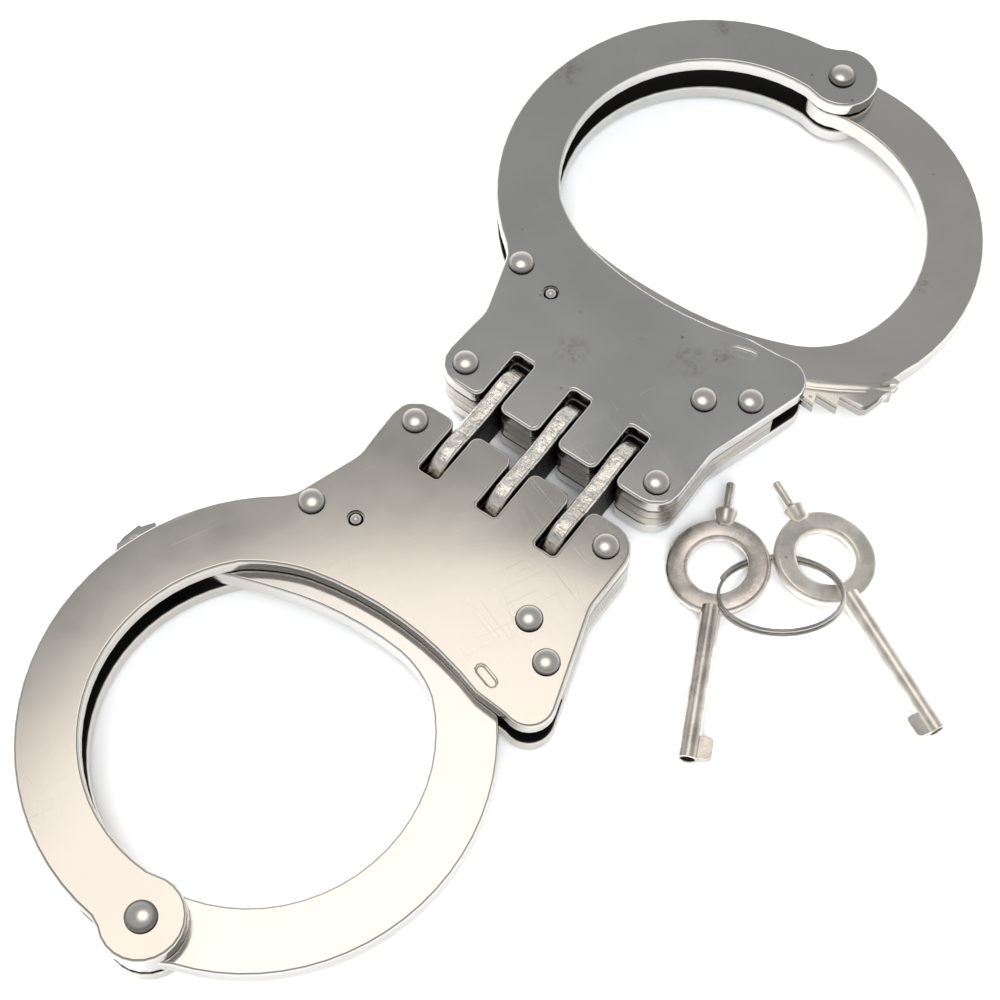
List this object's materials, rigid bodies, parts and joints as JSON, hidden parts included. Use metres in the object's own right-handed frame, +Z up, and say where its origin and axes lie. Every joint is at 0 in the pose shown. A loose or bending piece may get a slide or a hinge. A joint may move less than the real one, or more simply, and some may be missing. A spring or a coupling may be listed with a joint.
{
  "type": "hinged handcuffs",
  "caption": "Hinged handcuffs: two ratcheting wrist rings with swinging toothed strands, joined by flat links on hinge pins, beside keys on a split ring.",
  "frame": {"origin": "centre of the bounding box's foot, on the surface the handcuffs and keys lie on", "axes": "+X along the two cuffs, from the left cuff's strand rivet to the right one's; +Y from the keys towards the cuffs' fixed arms; +Z up from the surface, along the rivets"},
  "size_m": [0.2102, 0.1262, 0.0134],
  "materials": {
    "cheek_steel": "satin nickel plate over steel, fine lengthwise lapping marks",
    "spacer_steel": "satin nickel plate, dull sheared edges",
    "strand_steel": "satin nickel plate, worn bright along the edges",
    "rivet_steel": "bright nickel plated domed heads",
    "hinge_pin_steel": "plain ground steel",
    "lock_steel": "dull hardened steel",
    "spring_steel": "blued spring steel",
    "link_steel": "bright nickel plate with rough filed rounds",
    "key_nickel": "nickel plate, slightly dulled by handling"
  },
  "bodies": {
    "right_cuff": {"right_top_cheek": "cheek_steel", "right_bottom_cheek": "cheek_steel", "right_upper_spacer": "spacer_steel", "right_lower_spacer": "spacer_steel", "right_neck_rivet": "rivet_steel", "right_hinge_rivet_rear": "rivet_steel", "right_hinge_rivet_front": "rivet_steel", "right_pawl_rivet": "rivet_steel", "right_mouth_rivet": "rivet_steel", "right_strand_rivet": "rivet_steel", "right_key_post": "rivet_steel", "right_hinge_pin": "hinge_pin_steel", "right_pawl_spring": "spring_steel", "right_double_lock_spring": "spring_steel"},
    "right_strand": {"right_strand": "strand_steel"},
    "right_pawl": {"right_pawl": "lock_steel"},
    "right_double_lock": {"right_double_lock_bar": "lock_steel"},
    "left_cuff": {"left_top_cheek": "cheek_steel", "left_bottom_cheek": "cheek_steel", "left_upper_spacer": "spacer_steel", "left_lower_spacer": "spacer_steel", "left_neck_rivet": "rivet_steel", "left_hinge_rivet_rear": "rivet_steel", "left_hinge_rivet_front": "rivet_steel", "left_pawl_rivet": "rivet_steel", "left_mouth_rivet": "rivet_steel", "left_strand_rivet": "rivet_steel", "left_key_post": "rivet_steel", "left_hinge_pin": "hinge_pin_steel", "left_pawl_spring": "spring_steel", "left_double_lock_spring": "spring_steel"},
    "left_strand": {"left_strand": "strand_steel"},
    "left_pawl": {"left_pawl": "lock_steel"},
    "left_double_lock": {"left_double_lock_bar": "lock_steel"},
    "links": {"rear_link": "link_steel", "middle_link": "link_steel", "front_link": "link_steel"},
    "ring": {"split_ring": "key_nickel"},
    "left_key": {"left_key_bow": "key_nickel", "left_key_shank": "key_nickel", "left_key_lock_pin": "key_nickel"},
    "right_key": {"right_key_bow": "key_nickel", "right_key_shank": "key_nickel", "right_key_lock_pin": "key_nickel"}
  },
  "joints": [
    {"name": "right_hinge", "type": "hinge", "parent": "right_cuff", "child": "links", "pos_m": [0.0079, 0.01667, 0.0067], "axis": [0, 1, 0], "range_deg": [-90, 90]},
    {"name": "left_hinge", "type": "hinge", "parent": "links", "child": "left_cuff", "pos_m": [-0.0079, 0.01667, 0.0067], "axis": [0, 1, 0], "range_deg": [-90, 90]},
    {"name": "right_strand_swing", "type": "hinge", "parent": "right_cuff", "child": "right_strand", "pos_m": [0.0983, 0.01737, 0.0067], "axis": [0, 0, 1], "continuous": true},
    {"name": "left_strand_swing", "type": "hinge", "parent": "left_cuff", "child": "left_strand", "pos_m": [-0.0983, 0.01737, 0.0067], "axis": [0, 0, 1], "continuous": true},
    {"name": "right_pawl_turn", "type": "hinge", "parent": "right_cuff", "child": "right_pawl", "pos_m": [0.0251, -0.00053, 0.0067], "axis": [0, 0, 1], "range_deg": [-9, 0], "stiffness_Nm_per_rad": 0.02, "springref_deg": -14},
    {"name": "left_pawl_turn", "type": "hinge", "parent": "left_cuff", "child": "left_pawl", "pos_m": [-0.0251, -0.00053, 0.0067], "axis": [0, 0, 1], "range_deg": [0, 9], "stiffness_Nm_per_rad": 0.02, "springref_deg": 14},
    {"name": "right_double_lock_slide", "type": "slide", "parent": "right_cuff", "child": "right_double_lock", "axis": [0, -1, 0], "range_m": [0, 0.0035]},
    {"name": "left_double_lock_slide", "type": "slide", "parent": "left_cuff", "child": "left_double_lock", "axis": [0, -1, 0], "range_m": [0, 0.0035]},
    {"name": "ring_lift", "type": "slide", "parent": "right_cuff", "child": "ring", "axis": [0, 0, 1], "range_m": [0, 0.08]},
    {"name": "left_key_round_ring", "type": "hinge", "parent": "ring", "child": "left_key", "pos_m": [0.00528, -0.02961, 0.0057], "axis": [0.3646, 0.34, 0.8669], "range_deg": [0, 12]},
    {"name": "right_key_round_ring", "type": "hinge", "parent": "ring", "child": "right_key", "pos_m": [0.00528, -0.02961, 0.0057], "axis": [0.3646, 0.34, 0.8669], "range_deg": [-40, 0]}
  ]
}
